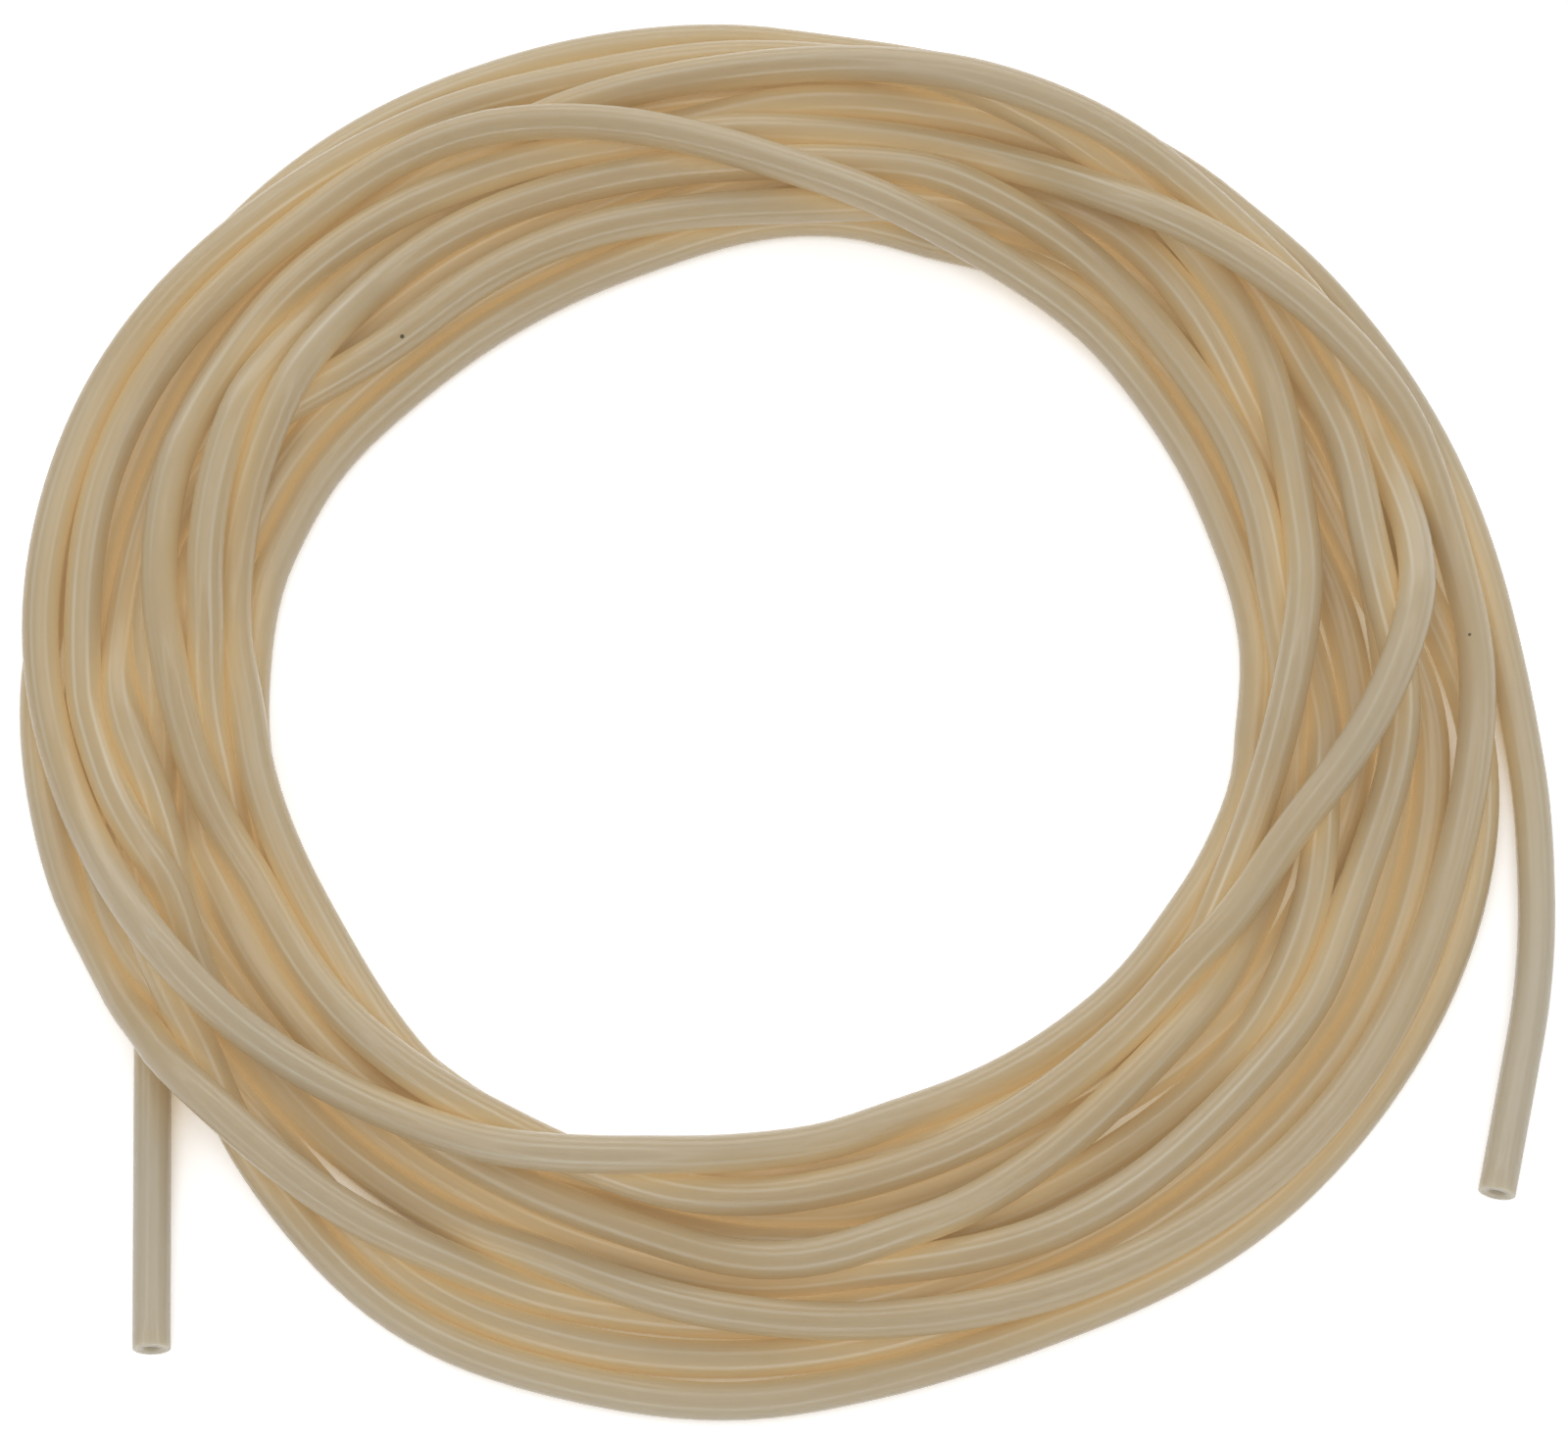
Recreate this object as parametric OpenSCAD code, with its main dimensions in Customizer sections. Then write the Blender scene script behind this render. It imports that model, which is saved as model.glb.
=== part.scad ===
// Coil of soft rubber laboratory tubing, lying flat as it comes to rest.
// Millimetres, +Z up, origin at the bottom centre of the whole object.
// Every turn shows as a ridge of the coil, and both cut ends run free of it.

/* [Tube] */
// Outside diameter of the tube
tube_od = 6.35; // [5.8:0.05:6.9]
// Diameter of the bore that runs through the tube
tube_bore = 3.2; // [2.4:0.1:4]

/* [Coil] */
// Radius from the middle of the coil to the middle of its bundle of turns
turn_r = 105.5; // [100:0.5:107]
// Turns that lie side by side on the surface, in the widest row
bottom_turns = 5; // [4:1:5]
// Rows of turns that lie on each other, each one turn narrower than the row below
turn_rows = 3; // [2:1:4]
// Distance between the middles of two turns in a row
turn_pitch = 9.2; // [8.2:0.1:9.6]
// How far each row sinks between the turns of the row below, which it lies across
row_settle = 0.3; // [0.1:0.05:0.6]
// How far the bottom turns are flattened where they bear on the surface
rest_flat = 0.1; // [0.05:0.05:0.2]

/* [Ends] */
// Angle round the middle of the coil at which the last turn leaves it
right_root_angle = 20; // [10:1:40]
// How far the last turn stands out of the bundle before it runs free
last_turn_stand = 4; // [3.6:0.1:4.6]
// Angle over which the last turn lies outside the bundle before it runs free
last_turn_angle = 32; // [20:1:60]
// Gap between the last turn as it leaves and the turn that it lay against
leave_gap = 0.3; // [0.2:0.05:0.5]
// Angle past its root over which the leaving end still has the coil beside it
leave_angle = 24; // [20:1:30]
// Angle round the middle of the coil at which the first end comes out from under the bundle
left_root_angle = 219.4; // [215:0.2:225]
// Gap between the bundle and the wall of the first end where it is clear of the bundle
left_root_gap = 0.5; // [0.3:0.1:1]
// Length of the first end that stays under the bundle
under_len = 40; // [30:1:45]

/* [Hidden] */
$fn = 64;

tube_r = tube_od / 2;
bore_r = tube_bore / 2;
tube_color = "#c6b48d";

// Routes of the free ends on the surface, seen from above, each from its own root.
left_steps = [[0, 0], [0.5, -14.5], [1, -29]];
right_steps = [
    [0, 0], [4.6, -15.4], [7.6, -30.4], [9.9, -45.9], [11.2, -58.9], [11.4, -71.9],
    [10.9, -83.9], [9.4, -95.9], [6.9, -107.9], [4.6, -118.4], [2.3, -128.9]
];
// Sides of a swept end, and how much narrower its inner cut is than the true bore it meets
sweep_sides = 12;
bore_blend = 0.98;
// How far one cut reaches past the face or the cut that it meets
cut_over = 0.5;
// Rings of the right end's straight mouth, which has the true round bore
mouth_rings = 3;

// Height between two rows: the turns cross each other, so a row rides on top of the one below.
row_rise = tube_od - row_settle;
coil_out_r = turn_r + (bottom_turns - 1) / 2 * turn_pitch + tube_r;

// The last turn lies outside the bundle up to the root of the right end.
last_turn_r = coil_out_r - tube_r + last_turn_stand;
right_route = from_root(right_steps, last_turn_r, right_root_angle);
left_route = from_root(left_steps, coil_out_r + tube_r + left_root_gap, left_root_angle);

// The coil stands off the origin by half of what the right end reaches past it.
right_reach = max([for (p = right_route) p[0]]) + tube_r;
coil_x = (coil_out_r - right_reach) / 2;

// Middle of turn i in row k, as distance from the coil's axis and height.
function turn_at(k, i) = [
    turn_r + (i - (bottom_turns - 1 - k) / 2) * turn_pitch,
    tube_r - rest_flat + k * row_rise
];

// Route that starts at a radius and an angle from the middle of the coil.
function from_root(steps, r, angle) = [for (s = steps) s + r * [cos(angle), sin(angle)]];

// Direction of a route at point i, along the line between its neighbours.
function along(route, i) =
    let (d = route[min(i + 1, len(route) - 1)] - route[max(i - 1, 0)]) d / norm(d);

// One ring of a swept end: its centre lies a tube's radius above the surface.
function ring(centre, dir, r) = [
    for (s = [0 : sweep_sides - 1])
        let (a = s * 360 / sweep_sides)
        [centre[0] - dir[1] * r * cos(a), centre[1] + dir[0] * r * cos(a), tube_r + r * sin(a)]
];

// Solid swept along the rings, with flat faces at both ends.
module sweep(rings) {
    last = len(rings) - 1;
    polyhedron(
        points = [for (loop = rings) each loop],
        faces = [
            [for (s = [0 : sweep_sides - 1]) s],
            [for (s = [sweep_sides - 1 : -1 : 0]) last * sweep_sides + s],
            for (j = [0 : last - 1], s = [0 : sweep_sides - 1])
                let (a = j * sweep_sides + s, b = j * sweep_sides + (s + 1) % sweep_sides)
                each [[a, a + sweep_sides, b + sweep_sides], [a, b + sweep_sides, b]]
        ],
        convexity = 6
    );
}

// Round bar that lies on the surface from one plan point to another.
module bar(from, to, r) {
    run = to - from;
    translate([from[0], from[1], tube_r])
        rotate([0, 90, atan2(run[1], run[0])])
            cylinder(r = r, h = norm(run));
}

// Section of the bundle: one circle for each turn, closed up between them.
module bundle_section() {
    top = turn_rows - 1;
    intersection() {
        union() {
            for (k = [0 : top], i = [0 : bottom_turns - 1 - k])
                translate(turn_at(k, i)) circle(r = tube_r);
            polygon([
                turn_at(0, 0), turn_at(0, bottom_turns - 1),
                turn_at(top, bottom_turns - 1 - top), turn_at(top, 0)
            ]);
        }
        square([coil_out_r + tube_od, tube_od * (turn_rows + 1)]);
    }
}

// Part of a turn around the coil's axis, of section radius r, between two angles.
module turn_arc(turn_radius, r, from, angle) {
    rotate([0, 0, from])
        rotate_extrude(angle = angle)
            translate([turn_radius, tube_r]) circle(r = r);
}

module coil() {
    left_dir = along(left_route, 0);
    left_root = left_route[0] - left_dir * under_len;
    color(tube_color)
        translate([coil_x, 0, 0])
            union() {
                difference() {
                    rotate_extrude() bundle_section();
                    turn_arc(last_turn_r, tube_r + leave_gap, right_root_angle - leave_angle, leave_angle);
                }
                turn_arc(last_turn_r, tube_r, right_root_angle, last_turn_angle);
                bar(left_root, left_route[0], tube_r);
            }
}

module left_end() {
    last = len(left_route) - 1;
    dir = along(left_route, last);
    color(tube_color)
        translate([coil_x, 0, 0])
            difference() {
                sweep([for (i = [0 : last]) ring(left_route[i], along(left_route, i), tube_r)]);
                bar(left_route[0] - dir * cut_over, left_route[last] + dir * cut_over, bore_r);
            }
}

module right_end() {
    last = len(right_route) - 1;
    mouth = last - mouth_rings + 1;
    // The root face is square to the last turn, which it continues.
    root_dir = [sin(right_root_angle), -cos(right_root_angle)];
    dirs = [
        root_dir,
        for (i = [1 : last]) along(right_route, i < mouth ? i : last)
    ];
    dir = dirs[last];
    color(tube_color)
        translate([coil_x, 0, 0])
            difference() {
                sweep([for (i = [0 : last]) ring(right_route[i], dirs[i], tube_r)]);
                bar(right_route[mouth], right_route[last] + dir * cut_over, bore_r);
                sweep([
                    ring(right_route[0] - dirs[0] * cut_over, dirs[0], bore_r * bore_blend),
                    for (i = [1 : mouth - 1]) ring(right_route[i], dirs[i], bore_r * bore_blend),
                    ring(right_route[mouth] + dir * cut_over, dir, bore_r * bore_blend)
                ]);
            }
}

coil();
left_end();
right_end();
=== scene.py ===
import math
import bpy
import numpy as np
from mathutils import Matrix, Vector
from mathutils.kdtree import KDTree


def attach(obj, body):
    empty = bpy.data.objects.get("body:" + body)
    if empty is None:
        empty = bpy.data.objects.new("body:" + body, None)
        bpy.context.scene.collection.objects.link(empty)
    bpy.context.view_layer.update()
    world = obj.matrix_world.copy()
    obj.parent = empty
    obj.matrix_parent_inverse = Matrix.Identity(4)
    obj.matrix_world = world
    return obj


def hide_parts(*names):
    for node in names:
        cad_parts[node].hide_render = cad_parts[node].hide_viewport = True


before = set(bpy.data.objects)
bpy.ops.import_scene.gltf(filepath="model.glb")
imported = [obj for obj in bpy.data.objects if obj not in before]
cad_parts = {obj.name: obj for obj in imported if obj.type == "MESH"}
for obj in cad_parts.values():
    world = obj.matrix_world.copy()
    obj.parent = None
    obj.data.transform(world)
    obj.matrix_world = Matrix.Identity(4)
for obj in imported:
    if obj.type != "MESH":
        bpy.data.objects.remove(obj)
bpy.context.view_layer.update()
scene = bpy.context.scene
print("frame loaded")

# The camera looks down on the coil from the near side.
view = {
    "elevation": 68,             # degrees above the surface
    "distance": 1.05,            # metres from what it looks at
    "aim": (0.0002, -0.0021, 0.008),
    "frameWidth": 0.26736,       # metres seen across the picture at the aim
    "sensor": 36,                # millimetres
    "farthest": 20,              # metres
}


def towardsCamera():
    rise = math.radians(view["elevation"])
    return Vector((0, -math.cos(rise), math.sin(rise)))


def addCamera():
    data = bpy.data.cameras.new("camera")
    data.sensor_width = view["sensor"]
    data.lens = view["sensor"] * view["distance"] / view["frameWidth"]
    data.clip_end = view["farthest"]
    camera = bpy.data.objects.new("camera", data)
    scene.collection.objects.link(camera)
    back = towardsCamera()
    camera.location = Vector(view["aim"]) + back * view["distance"]
    camera.rotation_euler = back.to_track_quat("Z", "Y").to_euler()
    scene.camera = camera


# The tube, in millimetres. Its sizes are those of the source.
tube = {
    "outside": 6.35,
    "bore": 3.2,
    "stations": 120,             # places a turn at which the turns settle on each other
    "ringsPerStation": 1.5,      # rings of the mesh for each of them
    "outerSides": 22,
    "innerSides": 12,
    "rimRound": 0.18,            # how much the edge of a cut end is rounded
    "rimCorner": 0.3,            # share of that at which the rounding has its middle corner
    "length": 7900,
}
coilX = -3.84                    # middle of the coil in the frame

# How the tube runs: seen from above, angles go clockwise from the left. Each turn is the radius
# of its middle every 15 degrees, as it looks from the camera at the height of readHeight.
# The radii were first read off the photograph, or guessed where a strand is hidden. Then
# separate fitting programs set between 85 and 130 of the 277, to bring the coil's edges and gaps
# towards those of the photograph.
route = {
    "readHeight": 10,
    "readStep": 15,              # degrees from one radius to the next
    "firstAngle": -36,           # degrees at which the coil starts, where the first end runs in
    "rootGap": 3,                # degrees between the coil's last place and the right end's root
    "leadIn": [144.2, 119.1, 107.2],      # the first end's way under the turns, from -45 degrees
    "turns": [
        [104.3, 106.3, 102.3, 93.6, 94.4, 94.5, 94.3, 97.5, 102.9, 103.8, 104.1, 106,
         113.3, 114.2, 115.8, 115, 114, 114, 116.3, 117.8, 118, 113.5, 113.4, 116.3],
        [116.1, 117.7, 119.5, 120, 119.5, 118, 118, 118.5, 119, 119, 118.3, 114.9,
         122.3, 124.9, 124.7, 124, 121.6, 119.2, 123.6, 123.9, 123.2, 117, 112, 108],
        [105, 96.8, 92.3, 91.8, 90.9, 94.1, 99.7, 107, 110.7, 106.3, 102.3, 101.2,
         101.5, 100.2, 97.8, 94, 91.2, 91.5, 93.5, 88.6, 88.3, 87.7, 87.1, 87.7],
        [87.3, 88.2, 90.8, 85.8, 87.4, 87.3, 92, 94.8, 95.2, 94, 92.5, 92.9,
         95.2, 98, 101.5, 100.8, 99.6, 98.7, 95.6, 95, 94.5, 94, 93.3, 93.5],
        [92.5, 99.2, 105, 108.2, 109.5, 110.6, 114, 118, 120.5, 118.5, 115, 108.3,
         109.7, 106.2, 106, 105.8, 105.8, 103, 100.5, 99.7, 98.8, 100, 101, 102.5],
        [107, 112.1, 114.7, 117.5, 117.3, 119.3, 122.1, 124.3, 124.4, 121.7, 118.7, 116,
         106.4, 92.6, 87.5, 84.9, 85.3, 86.5, 87.7, 86.5, 86.3, 87.8, 89.6, 93.4],
        [99.3, 107, 111.8, 114, 113.3, 110, 109.3, 110.3, 113.5, 118.2, 122.3, 122.9,
         122.2, 120.5, 120.5, 119.3, 115.9, 112.1, 108.4, 105.7, 105.1, 105.2, 106.1, 108.3],
        [113.7, 119.7, 123.2, 122.8, 121.8, 114.3, 103.6, 96.9, 93.3, 92.7, 90, 86.4,
         87.4, 83.2, 83.7, 82.3, 80.3, 79.9, 79.7, 83.1, 90.2, 97.9, 106.5, 114],
        [121.7, 126.5, 128.5, 127.2, 126, 124.8, 124.2, 122.9, 119.9, 113, 104, 96.5,
         89.7, 85.7, 84.4, 84, 83.5, 83, 84.8, 87.3, 88.1, 86.1, 84.3, 85.1],
        [88.8, 93.4, 99.4, 103, 104.4, 103.3, 103.5, 104.3, 103.3, 98.3, 95.4, 91.5,
         90.5, 92.1, 92.3, 91.5, 94, 97, 99, 95.3, 94.6, 95, 95.8, 96.8],
        [99.5, 100.7, 100.1, 98.4, 99.5, 100.4, 108, 114, 116, 115.4, 112.1, 108.5,
         109.6, 110.7, 110.4, 109.3, 109, 109, 109.8, 110.7, 112.4, 114, 115.8, 120.8],
        [123.9, 123.8, 126.2, 128.9, 130.3, 128.5, 126.3, 125.7, 122.4, 124.1, 126.9, 127, 129.5],
    ],
    # Which turn lies over which: (angle, rank), where a higher rank lies on top.
    "ranks": [
        [(0, 0), (25, 0), (45, 4), (90, 4), (110, 1), (180, 1), (200, 3), (225, 3), (245, 1),
         (345, 0)],
        [(0, 0), (170, 0.5), (190, 3), (305, 3), (322, 1), (345, 1)],
        [(0, 0), (100, 0), (118, 4), (150, 4), (168, 3), (210, 3), (235, 2), (345, 2)],
        [(0, 2), (18, 2), (32, 1), (105, 1), (118, 2), (160, 2), (182, 4), (222, 4), (245, 2),
         (345, 2)],
        [(0, 5), (60, 5), (78, 3), (142, 3), (155, 5), (178, 5), (195, 6), (252, 6), (270, 5),
         (345, 5)],
        [(0, 2), (60, 2), (76, 8), (125, 8), (137, 5), (150, 5), (163, 9), (230, 9), (250, 5),
         (345, 5)],
        [(0, 6), (85, 6), (97, 8), (318, 8), (335, 6), (345, 7)],
        [(0, 9), (120, 9), (138, 2), (255, 2), (280, 9), (345, 9)],
        [(0, 6), (125, 6), (138, 7), (190, 7), (205, 4), (345, 4)],
        [(0, 5.5), (75, 5.5), (90, 4), (110, 4), (122, 5), (150, 5), (165, 3), (225, 3), (240, 4),
         (300, 4), (315, 3), (345, 3)],
        [(0, 1.5), (175, 1.5), (195, 4), (345, 4)],
        [(0, 3), (37, 3), (50, 4), (100, 4), (180, 4)],
    ],
    "rankHeight": 1.35,          # millimetres a rank stands for before the turns settle
    # Free ends on the surface, each from its own root at a radius and an angle, as in the source.
    "leftRoot": (130.75, 219.4),
    "leftSteps": [(0, 0), (0.5, -14.5), (1, -29)],
    "rightRoot": (127.9, 20),
    "rightSteps": [(0, 0), (4.6, -15.4), (7.6, -30.4), (9.9, -45.9), (11.2, -58.9),
                   (11.4, -71.9), (10.9, -83.9), (9.4, -95.9), (6.9, -107.9), (4.6, -118.4),
                   (2.3, -128.9)],
}


def smoothLine(values, places):
    # a smooth line through values that stand at 0, 1, 2 and so on, read at the places
    padded = np.concatenate([[2 * values[0] - values[1]], values, [2 * values[-1] - values[-2]]])
    start = np.clip(places.astype(int), 0, len(values) - 2)
    share = places - start
    a, b, c, d = (padded[start + k] for k in range(4))
    return 0.5 * (2 * b + (c - a) * share + (2 * a - 5 * b + 4 * c - d) * share ** 2
                  + (3 * b - a - 3 * c + d) * share ** 3)


# How the turns settle on each other.
settling = {
    "rounds": 1200,
    "fall": 0.06,                # millimetres a round under the tube's own weight
    "lateShare": 0.8,            # share of the rounds after which the fall is gentler
    "lateFall": 0.02,            # millimetres a round from then on
    "pull": 0.06,                # share of the way back to the route
    "bend": 0.07,                # how far the tube resists a sharp bend
    "push": 0.7,                 # share of an overlap that a contact takes away
    "pushes": 3,                 # looks at the contacts in each round
    "crossWidth": 0.75,          # tube widths within which one strand counts as over another
    "crossAside": 0.5,           # how much less such strands move sideways
    "crossLift": 0.8,            # how strongly the one of higher rank moves up
    "keepFirst": 16,             # degrees before the coil's left up to which the end runs straight
    "keepLast": 8,               # degrees before the right end's root that keep to its radius
}


def startOfTurns():
    # radius as it looks, rank and angle at every station of the coil
    radii = route["leadIn"] + [r for turn in route["turns"] for r in turn]
    last = 360 * (len(route["turns"]) - 1) + 180 - route["rightRoot"][1] - route["rootGap"]
    angle = np.arange(route["firstAngle"], last + 1, 360 // tube["stations"])
    places = (angle + len(route["leadIn"]) * route["readStep"]) / route["readStep"]
    looks = smoothLine(np.array(radii, float), places)
    rankAngle = [360 * n + a for n, turn in enumerate(route["ranks"]) for a, _ in turn]
    rankValue = [k for turn in route["ranks"] for _, k in turn]
    return looks, np.interp(angle, rankAngle, rankValue), np.radians(angle)


def bendBack(values, share):
    # moves every place towards the smooth line through its neighbours
    lean = np.zeros(len(values))
    lean[1:-1] = values[:-2] - 2 * values[1:-1] + values[2:]
    values[2:-2] -= share * (lean[1:-3] - 2 * lean[2:-2] + lean[3:-1])


def pushApart(radius, height, rank, slope):
    # tubes that overlap at the same angle move apart, the one of higher rank upwards
    out, up, count = (np.zeros(len(radius)) for _ in range(3))
    turn = tube["stations"]
    for gap in range(turn, len(radius), turn):
        low, high = np.arange(len(radius) - gap), np.arange(gap, len(radius))
        across = (radius[high] - radius[low]) / np.hypot(1, slope[high] - slope[low])
        above = height[high] - height[low]
        apart = np.hypot(across, above) + 1e-9
        hit = apart < tube["outside"]
        low, high, across, above, apart = (v[hit] for v in (low, high, across, above, apart))
        order = np.sign(rank[high] - rank[low])
        order = np.where(order == 0, np.sign(above), order)
        crossing = 1 - np.abs(across) / (settling["crossWidth"] * tube["outside"])
        crossing = np.clip(crossing, 0, 1)
        wayOut = across / apart * (1 - settling["crossAside"] * crossing)
        wayUp = above / apart + settling["crossLift"] * crossing * order
        reach = (tube["outside"] - apart) / 2 / (np.hypot(wayOut, wayUp) + 1e-9)
        for place, sign in ((low, -1), (high, 1)):
            out[place] += sign * wayOut * reach
            up[place] += sign * wayUp * reach
            count[place] += 1
    share = settling["push"] / np.sqrt(np.maximum(count, 1))
    radius += out * share
    height += up * share


def settleTurns():
    # the middle of the tube at every station of the coil, in millimetres
    looks, rank, angle = startOfTurns()
    floor = tube["outside"] / 2
    shift = math.tan(math.radians(90 - view["elevation"]))

    def trueRadius():
        # what lies higher looks farther out on the far side and farther in on the near side
        return looks - (height - route["readHeight"]) * shift * np.sin(angle)

    height = floor + rank * route["rankHeight"]
    radius = trueRadius()
    # the first and the last places keep to the lines of the free ends
    x, y, _ = endRoute(route["leftRoot"], route["leftSteps"])[0]
    dx, dy = route["leftSteps"][1]
    lean = -dx / dy
    first = angle < math.radians(-settling["keepFirst"])
    firstRadius = -(x - coilX + lean * y) / (np.cos(angle) - lean * np.sin(angle))[first]
    final = angle > angle[-1] - math.radians(settling["keepLast"])
    for turn in range(settling["rounds"]):
        late = turn >= settling["lateShare"] * settling["rounds"]
        height -= settling["lateFall" if late else "fall"]
        radius += settling["pull"] * (trueRadius() - radius)
        for values in (radius, radius, height, height):
            bendBack(values, settling["bend"])
        slope = np.gradient(radius) / (np.gradient(angle) * radius)
        for _ in range(settling["pushes"]):
            pushApart(radius, height, rank, slope)
            np.maximum(height, floor, out=height)
            radius[first], height[first] = firstRadius, floor
            radius[final], height[final] = route["rightRoot"][0], floor
    return np.stack([coilX - radius * np.cos(angle), radius * np.sin(angle), height], 1)


def endRoute(root, steps):
    # the points of a free end, as in the source
    r, angle = root[0], math.radians(root[1])
    start = np.array([coilX + r * math.cos(angle), r * math.sin(angle)])
    return np.array([[*(start + step), tube["outside"] / 2] for step in np.array(steps)])


def tubeLine():
    # the middle line of the whole tube in metres, in even steps from the left cut end
    left = endRoute(route["leftRoot"], route["leftSteps"])[::-1]
    right = endRoute(route["rightRoot"], route["rightSteps"])
    points = np.concatenate([left, settleTurns(), right])
    length = np.concatenate([[0], np.cumsum(np.linalg.norm(np.diff(points, axis=0), axis=1))])
    # a smooth curve through the points, by their distance along the tube
    rings = int(len(points) * tube["ringsPerStation"])
    goal = np.linspace(0, length[-1], rings)
    place = np.clip(np.searchsorted(length, goal, side="right") - 1, 0, len(points) - 2)
    tangent = np.gradient(points, length, axis=0)
    span = (length[place + 1] - length[place])[:, None]
    t = (goal - length[place])[:, None] / span
    line = ((2 * t ** 3 - 3 * t ** 2 + 1) * points[place]
            + (t ** 3 - 2 * t ** 2 + t) * span * tangent[place]
            + (3 * t ** 2 - 2 * t ** 3) * points[place + 1]
            + (t ** 3 - t ** 2) * span * tangent[place + 1])
    return line / 1000


def cutFace(faces, outerRing, innerRing, first):
    # triangles between the outer wall's last ring and the bore's, which has fewer corners
    (a, sidesA), (b, sidesB) = outerRing, innerRing
    i = j = 0
    while i < sidesA or j < sidesB:
        if j == sidesB or (i < sidesA and (i + 1) / sidesA <= (j + 1) / sidesB):
            face = (a + i % sidesA, a + (i + 1) % sidesA, b + j % sidesB)
            i += 1
        else:
            face = (a + i % sidesA, b + (j + 1) % sidesB, b + j % sidesB)
            j += 1
        faces.append(face[::-1] if first else face)


def makeTubing(line):
    # one hollow tube: the outer wall, the bore, and the cut faces with their slightly rounded edges
    outer, inner = tube["outside"] / 2000, tube["bore"] / 2000
    rim = tube["rimRound"] / 1000
    along = np.gradient(line, axis=0)
    along /= np.linalg.norm(along, axis=1)[:, None]
    # the rings start square to the way towards the camera, so a quarter turn faces it; the painted
    # highlights are placed from there
    side = np.cross(along, towardsCamera())
    side /= np.linalg.norm(side, axis=1)[:, None]
    up = np.cross(side, along)
    distance = np.concatenate([[0], np.cumsum(np.linalg.norm(np.diff(line, axis=0), axis=1))])
    last = len(line) - 1
    # each ring of the mesh: the place on the line, how far it stands back from the cut, radius
    corner = tube["rimCorner"] * rim
    rings = [(0, 0, outer - rim), (0, corner, outer - corner)]
    rings += [(k, rim if k == 0 else -rim if k == last else 0, outer) for k in range(last + 1)]
    rings += [(last, -corner, outer - corner), (last, 0, outer - rim)]
    bore = [(k, 0, inner) for k in range(last, -1, -1)]
    vertices, uvs, loops = [], [], []
    for group, sides in ((rings, tube["outerSides"]), (bore, tube["innerSides"])):
        turn = np.arange(sides) / sides
        c, s = np.cos(2 * math.pi * turn), np.sin(2 * math.pi * turn)
        for k, back, radius in group:
            ring = line[k] + along[k] * back + radius * (side[k] * c[:, None] + up[k] * s[:, None])
            loops.append((len(vertices), sides))
            vertices.extend(ring.tolist())
            uvs.extend([(t, distance[k]) for t in turn])
    faces = []

    def band(a, b, sides):
        for k in range(sides):
            n = (k + 1) % sides
            faces.append((a + k, a + n, b + n, b + k))

    for (a, sidesA), (b, sidesB) in zip(loops, loops[1:]):
        if sidesA == sidesB:
            band(a, b, sidesA)
    # the two cut faces join the outer wall and the bore
    lastOfWall, firstOfBore = loops[len(rings) - 1], loops[len(rings)]
    for outerRing, innerRing in ((lastOfWall, firstOfBore), (loops[0], loops[-1])):
        cutFace(faces, outerRing, innerRing, outerRing == loops[0])
    mesh = bpy.data.meshes.new("tubing")
    mesh.from_pydata(vertices, [], faces)
    layer = mesh.uv_layers.new(name="along")
    ofCorner = np.zeros(len(mesh.loops), int)
    mesh.loops.foreach_get("vertex_index", ofCorner)
    flat = np.array(uvs)[ofCorner]
    starts = np.repeat([p.loop_start for p in mesh.polygons],
                       [p.loop_total for p in mesh.polygons])
    # the last face of a ring goes on past a whole turn and doesn't run back to 0
    wraps = flat[starts, 0] - flat[:, 0] > 0.5
    flat[wraps, 0] += 1
    layer.data.foreach_set("uv", flat.ravel())
    tubing = bpy.data.objects.new("tubing", mesh)
    scene.collection.objects.link(tubing)
    for polygon in mesh.polygons:
        polygon.use_smooth = True
    return tubing


# Soft natural rubber: cream and translucent, with a dull gloss.
rubber = {
    "free": (0.63, 0.555, 0.425),       # painted light: the paler tone of a strand by itself, as if lit through
    "cream": (0.575, 0.462, 0.3),       # a strand among others
    "paintedTouchAmber": (0.55, 0.425, 0.225),      # painted light: a warmer tone where strands touch
    "through": (0.2, 0.148, 0.082),     # painted glow there, for light that comes through the neighbours
    "throughPower": 1.3,         # how fast that painted glow fades away from where they touch
    "paintedHighlight": (0.66, 0.59, 0.45),         # painted highlights: two fine lines along the tube
    "lineTurn": 0.062,           # turns between the side that faces the camera and each painted highlight
    "lineWidth": 0.028,          # turns
    "linePatches": (3.0, 14.0),  # patches round the tube and for each metre in which a line shows
    "lineFade": (0.35, 0.65),    # where in the noise of the patches a line starts and is full
    "speck": (0.12, 0.09, 0.06),
    "speckScale": 55.0,
    "speckSize": 0.022,          # radius of a speck, where 1 is the distance between two
    "roughness": 0.2,
    "roughnessSpread": (-0.05, 0.08),
    "refraction": 1.5,
    "scatter": (1.0, 0.95, 0.8),        # how far red, green and blue light go, as shares
    "scatterDepth": 0.003,       # metres
    "buriedReach": 0.0035,       # metres over which the painted warm tone and glow fade away from where another strand touches
    "crowdReach": 0.014,         # metres within which a strand counts as close by
    "crowdFade": 0.004,          # metres over which such a strand counts less
    "crowdAlong": 0.03,          # metres of tube over which the tone is evened out
    "crowdLocal": 0.35,          # share of the crowd that is taken at the place itself
    "crowdFull": 1.6,            # sum of close strands at which the full cream shows
    "levelRings": 0.6,           # rings by which a place on the next strand may be off to count
    "cloudScale": 22,
    "streaks": (9, 6.0),         # streaks round the tube and for each metre
    "streakDepth": 0.00002,      # metres
    "streakStrength": 0.5,
}


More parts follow.
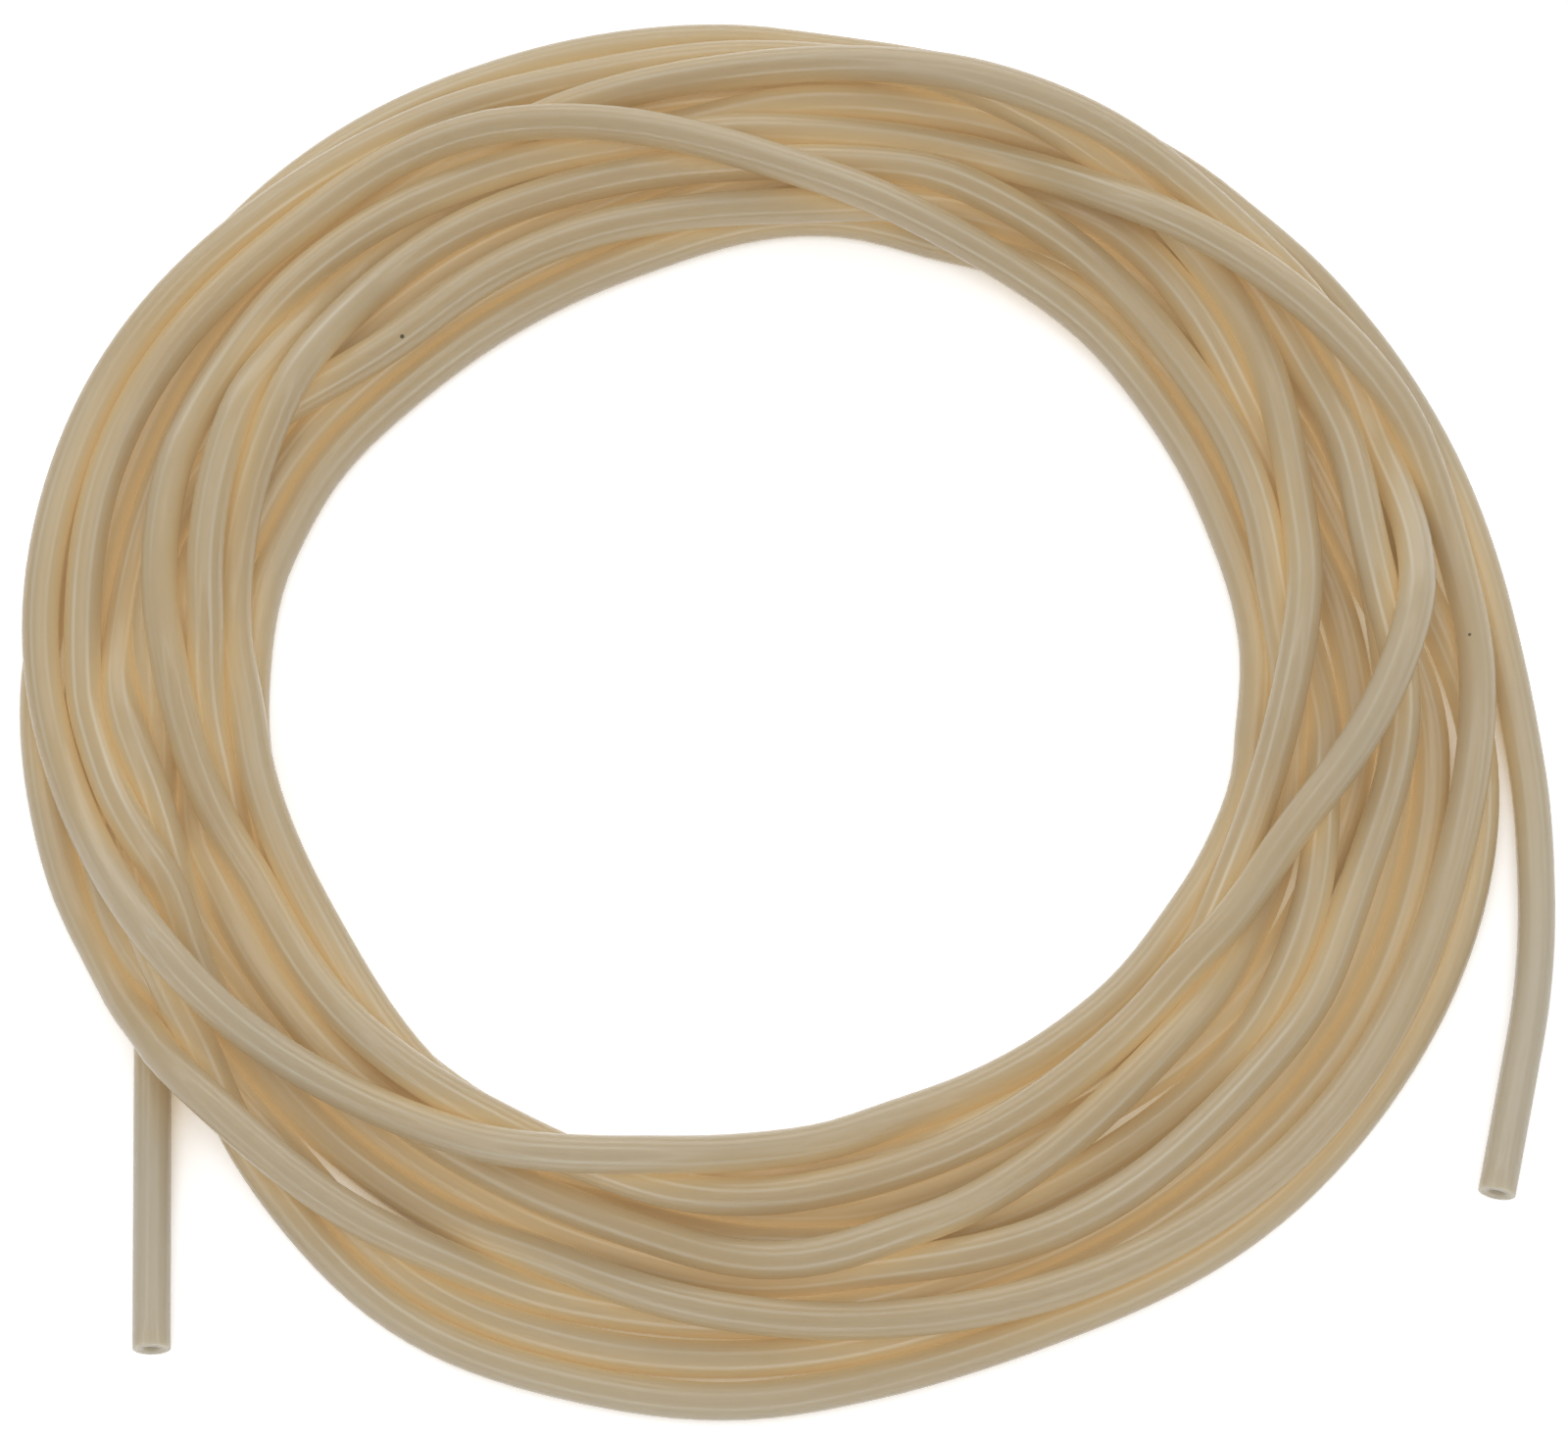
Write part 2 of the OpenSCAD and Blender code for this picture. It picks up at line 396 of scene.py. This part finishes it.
def markNeighbours(tubing, line):
    # "buried" is 1 where another strand touches, "crowd" grows with the strands close by; both
    # steer painted light in the rubber
    points = np.zeros(len(tubing.data.vertices) * 3)
    tubing.data.vertices.foreach_get("co", points)
    points = points.reshape(-1, 3)
    along = np.gradient(line, axis=0)
    along /= np.linalg.norm(along, axis=1)[:, None]
    last = len(line) - 1
    rings = np.clip(np.arange(-2, last + 3), 0, last)      # with the two of each rounded rim
    ringOf = np.concatenate([np.repeat(rings, tube["outerSides"]),
                             np.repeat(np.arange(last, -1, -1), tube["innerSides"])])
    tree = KDTree(len(line))
    for k, place in enumerate(line):
        tree.insert(place, k)
    tree.balance()
    order = np.argsort(ringOf, kind="stable")
    starts = np.searchsorted(ringOf[order], np.arange(last + 2))
    buried, crowd = np.zeros(len(points)), np.zeros(len(points))
    spacing = np.linalg.norm(line[1] - line[0])
    means = np.zeros(last + 1)
    for k in range(last + 1):
        near = np.array([n for _, n, _ in tree.find_range(line[k], rubber["crowdReach"])])
        near = near[np.abs(near - k) * spacing > 2 * rubber["crowdReach"]]
        if not len(near):
            continue
        mine = order[starts[k]:starts[k + 1]]
        way = points[mine, None, :] - line[None, near]
        beside = (way * along[near]).sum(2)
        apart = np.sqrt(np.maximum((way * way).sum(2) - beside ** 2, 0)) - tube["outside"] / 2000
        level = np.abs(beside) < spacing * rubber["levelRings"]
        gap = np.maximum(np.where(level, apart, 1), 0)
        buried[mine] = np.exp(-gap.min(1) / rubber["buriedReach"])
        close = np.exp(-gap / rubber["crowdFade"]).sum(1)
        crowd[mine], means[k] = rubber["crowdLocal"] * close, close.mean()
    # the crowd, and with it the painted pale tone, changes slowly along the tube
    window = np.hanning(2 * int(rubber["crowdAlong"] / spacing) + 1)
    padded = np.pad(means, len(window) // 2, mode="edge")
    means = np.convolve(padded, window / window.sum(), "valid")
    crowd += (1 - rubber["crowdLocal"]) * means[ringOf]
    for name, values in (("buried", buried), ("crowd", crowd)):
        layer = tubing.data.attributes.new(name, "FLOAT", "POINT")
        layer.data.foreach_set("value", values.astype(np.float32))
    middle, most = float(np.median(crowd)), float(crowd.max())
    print("strands close by, middle and most:", round(middle, 2), round(most, 2))


def newMaterial(name):
    material = bpy.data.materials.new(name)
    material.use_nodes = True
    material.node_tree.nodes.clear()
    material.cycles.emission_sampling = "NONE"      # a faint glow isn't a lamp
    return material, material.node_tree.nodes, material.node_tree.links


def addNode(nodes, kind, **inputs):
    node = nodes.new(kind)
    for name, value in inputs.items():
        node.inputs[name.replace("_", " ")].default_value = value
    return node


def addMath(nodes, links, operation, *values):
    # a Math node on numbers and on the outputs of other nodes
    node = nodes.new("ShaderNodeMath")
    node.operation = operation
    for socket, value in zip(node.inputs, values):
        if isinstance(value, (int, float)):
            socket.default_value = value
        else:
            links.new(value, socket)
    return node.outputs[0]


def addMix(nodes, links, factor, first, second):
    # a colour that goes from the first to the second, each a colour or another node's output
    node = nodes.new("ShaderNodeMix")
    node.data_type = "RGBA"
    links.new(factor, node.inputs["Factor"])
    for name, value in (("A", first), ("B", second)):
        if isinstance(value, tuple):
            node.inputs[name].default_value = (*value, 1)
        else:
            links.new(value, node.inputs[name])
    return node.outputs["Result"]


def addRange(nodes, links, value, start=0, end=1, low=0, high=1):
    # the value, brought from start and end to low and high
    node = nodes.new("ShaderNodeMapRange")
    for name, number in zip(("From Min", "From Max", "To Min", "To Max"), (start, end, low, high)):
        node.inputs[name].default_value = number
    links.new(value, node.inputs["Value"])
    return node


def addNoise(nodes, links, place, scale, detail):
    noise = addNode(nodes, "ShaderNodeTexNoise", Scale=scale, Detail=detail)
    links.new(place, noise.inputs["Vector"])
    return noise.outputs["Fac"]


def alongTube(nodes, links, place, counts):
    # the tube's own coordinates, stretched to so many a turn and a metre
    stretch = addNode(nodes, "ShaderNodeMapping", Scale=(*counts, 1.0))
    links.new(place.outputs["UV"], stretch.inputs["Vector"])
    return stretch.outputs[0]


def readMark(nodes, name):
    mark = nodes.new("ShaderNodeAttribute")
    mark.attribute_name = name
    return mark.outputs["Fac"]


def paintedHighlightLines(nodes, links, place):
    # painted highlights: two lines along the tube, one on each side of where it faces the camera,
    # that come and go
    split = nodes.new("ShaderNodeSeparateXYZ")
    links.new(place.outputs["UV"], split.inputs[0])
    value = split.outputs[0]
    for share in (0.25, rubber["lineTurn"]):      # a quarter of a turn faces the camera
        value = addMath(nodes, links, "ABSOLUTE", addMath(nodes, links, "SUBTRACT", value, share))
    line = addRange(nodes, links, value, end=rubber["lineWidth"], low=1, high=0)
    line.interpolation_type = "SMOOTHSTEP"
    patches = alongTube(nodes, links, place, rubber["linePatches"])
    shown = addRange(nodes, links, addNoise(nodes, links, patches, 1.0, 2.0), *rubber["lineFade"])
    return addMath(nodes, links, "MULTIPLY", line.outputs[0], shown.outputs[0])


def rubberMaterial():
    material, nodes, links = newMaterial("rubber")
    output = nodes.new("ShaderNodeOutputMaterial")
    shader = addNode(nodes, "ShaderNodeBsdfPrincipled", Subsurface_Weight=1.0,
                     Subsurface_Radius=rubber["scatter"], Subsurface_Scale=rubber["scatterDepth"],
                     IOR=rubber["refraction"], Emission_Strength=1.0)
    links.new(shader.outputs[0], output.inputs["Surface"])
    place = nodes.new("ShaderNodeTexCoord")
    # clouds a few centimetres long, and streaks that the die leaves along the tube
    clouds = addNoise(nodes, links, place.outputs["Object"], rubber["cloudScale"], 3.0)
    streaks = addNoise(nodes, links, alongTube(nodes, links, place, rubber["streaks"]), 1.0, 2.0)
    # painted light: paler where few strands lie close by, as if lit through, creamier where many do
    # and the clouds and streaks are strong
    share = addRange(nodes, links, readMark(nodes, "crowd"), end=rubber["crowdFull"]).outputs[0]
    toneAndPaintedLight = addMath(nodes, links, "MULTIPLY", share, addMath(nodes, links, "ADD", clouds, streaks))
    toneAndPaintedLight.node.use_clamp = True
    colour = addMix(nodes, links, toneAndPaintedLight, rubber["free"], rubber["cream"])
    # painted light: warmer where other strands touch, and a painted glow for the light that they
    # let through
    buried = readMark(nodes, "buried")
    colour = addMix(nodes, links, buried, colour, rubber["paintedTouchAmber"])
    deep = addMath(nodes, links, "POWER", buried, rubber["throughPower"])
    glow = addMix(nodes, links, deep, (0, 0, 0), rubber["through"])
    links.new(glow, shader.inputs["Emission Color"])
    # a few specks of dirt
    dust = addNode(nodes, "ShaderNodeTexVoronoi", Scale=rubber["speckScale"])
    links.new(place.outputs["Object"], dust.inputs["Vector"])
    near = addMath(nodes, links, "LESS_THAN", dust.outputs["Distance"], rubber["speckSize"])
    colour = addMix(nodes, links, near, colour, rubber["speck"])
    # painted highlights along the tube
    colour = addMix(nodes, links, paintedHighlightLines(nodes, links, place), colour, rubber["paintedHighlight"])
    links.new(colour, shader.inputs["Base Color"])
    low, high = (rubber["roughness"] + change for change in rubber["roughnessSpread"])
    gloss = addRange(nodes, links, streaks, low=low, high=high)
    links.new(gloss.outputs[0], shader.inputs["Roughness"])
    bump = addNode(nodes, "ShaderNodeBump", Strength=rubber["streakStrength"],
                   Distance=rubber["streakDepth"])
    links.new(streaks, bump.inputs["Height"])
    links.new(bump.outputs[0], shader.inputs["Normal"])
    return material


# A white floor that keeps the shadow, and lamps in a ring that give each strand two soft lines.
studio = {
    "floorSize": 6,              # metres
    "floorColour": 0.8,
    "floorGlow": 0.6,            # only as the camera and the gloss see it
    "gapReach": 0.02,            # metres within which the object darkens the floor's glow as painted shade
    "gapSamples": 6,
    "paintedGapShade": (0.42, 0.31, 0.16),    # painted warm shade on the floor in narrow gaps, for light that the rubber lets in
    "gapShade": (0.1, 0.5),      # openness of the floor at which its own glow starts and is full
    "worldStrength": 0.445,
    "ringLamps": 8,
    "ringTilt": 44,              # degrees between the view and each lamp
    "ringDistance": 1.6,         # metres
    "ringGlow": 1.6,             # radiance of the ring, seen in the gloss only
    "ringSize": (0.9, 0.25),     # metres across and up
    "nearGain": 1.5,             # how much brighter the near side's lamp is
    # direction, distance, size across and up, power, and whether the gloss shows it
    "softboxes": {
        "front": ((0, -0.37, 0.93), 1.8, (1.4, 1.4), 9, False),
        "back": ((0, 0.9, 0.42), 1.5, (2.2, 0.7), 6.6, True),
    },
}


def addFloor():
    bpy.ops.object.select_all(action="DESELECT")
    bpy.ops.mesh.primitive_plane_add(size=studio["floorSize"])
    floor = bpy.context.object
    floor.name = "floor"
    material, nodes, links = newMaterial("floor")
    output = nodes.new("ShaderNodeOutputMaterial")
    matt = addNode(nodes, "ShaderNodeBsdfDiffuse", Color=(*[studio["floorColour"]] * 3, 1))
    glow = addNode(nodes, "ShaderNodeEmission")
    # the glow is for what the camera and the gloss see, and lights nothing
    rays = nodes.new("ShaderNodeLightPath").outputs
    seen = addMath(nodes, links, "MAXIMUM", rays["Is Camera Ray"], rays["Is Glossy Ray"])
    seen = addMath(nodes, links, "MAXIMUM", seen, rays["Is Transmission Ray"])
    strength = addMath(nodes, links, "MULTIPLY", seen, studio["floorGlow"])
    links.new(strength, glow.inputs["Strength"])
    # painted shade: in a narrow gap between strands the floor's glow darkens to the rubber's warm
    # tone
    openness = addNode(nodes, "ShaderNodeAmbientOcclusion", Distance=studio["gapReach"])
    openness.samples = studio["gapSamples"]
    clear = addRange(nodes, links, openness.outputs["AO"], *studio["gapShade"]).outputs[0]
    links.new(addMix(nodes, links, clear, studio["paintedGapShade"], (1, 1, 1)), glow.inputs["Color"])
    both = nodes.new("ShaderNodeAddShader")
    links.new(matt.outputs[0], both.inputs[0])
    links.new(glow.outputs[0], both.inputs[1])
    links.new(both.outputs[0], output.inputs["Surface"])
    floor.data.materials.append(material)


def addLights():
    world = bpy.data.worlds.new("studio")
    world.use_nodes = True
    scene.world = world
    nodes, links = world.node_tree.nodes, world.node_tree.links
    nodes.clear()
    output = nodes.new("ShaderNodeOutputWorld")
    sky = addNode(nodes, "ShaderNodeBackground", Color=(1, 1, 1, 1),
                  Strength=studio["worldStrength"])
    links.new(sky.outputs[0], output.inputs["Surface"])
    axis = towardsCamera()
    near = Vector((0, -axis.z, axis.y))      # square to the axis, towards the near side
    tilt = math.radians(studio["ringTilt"])
    across, up = studio["ringSize"]
    for k in range(studio["ringLamps"]):
        angle = 2 * math.pi * k / studio["ringLamps"]
        way = axis * math.cos(tilt) + Matrix.Rotation(angle, 3, axis) @ near * math.sin(tilt)
        gain = 1 + (studio["nearGain"] - 1) * max(0, math.cos(angle))
        power = studio["ringGlow"] * gain * math.pi * across * up
        lamp = addSoftbox(f"ring_{k}", way, studio["ringDistance"], (across, up), power, axis)
        lamp.visible_diffuse = False
    for name, (way, distance, size, power, glossy) in studio["softboxes"].items():
        lamp = addSoftbox(name, Vector(way).normalized(), distance, size, power, Vector((0, 0, 1)))
        lamp.visible_glossy = glossy


def addSoftbox(name, way, distance, size, power, upright):
    # a rectangular lamp that looks at the coil, its short side turned towards the upright
    lamp = bpy.data.lights.new(name, "AREA")
    lamp.shape = "RECTANGLE"
    lamp.size, lamp.size_y = size
    lamp.energy = power
    holder = bpy.data.objects.new(name, lamp)
    scene.collection.objects.link(holder)
    side = upright.cross(way).normalized()
    turn = Matrix((side, way.cross(side), way)).transposed().to_4x4()
    holder.matrix_world = Matrix.Translation(Vector(view["aim"]) + way * distance) @ turn
    return holder


scene.view_settings.view_transform = "Standard"
scene.cycles.max_bounces = 12
scene.cycles.diffuse_bounces = 8      # the pale rubber passes light on many times between its turns
addCamera()
print("camera placed")
line = tubeLine()
lineLength = float(np.linalg.norm(np.diff(line, axis=0), axis=1).sum())
print("turns settled, tube", round(lineLength, 3), "m")
tubing = makeTubing(line)
markNeighbours(tubing, line)
tubing.data.materials.append(rubberMaterial())
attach(tubing, "root")
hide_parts("coil", "left_end", "right_end")
print("tube made")
addFloor()
addLights()
print("floor and lamps placed")
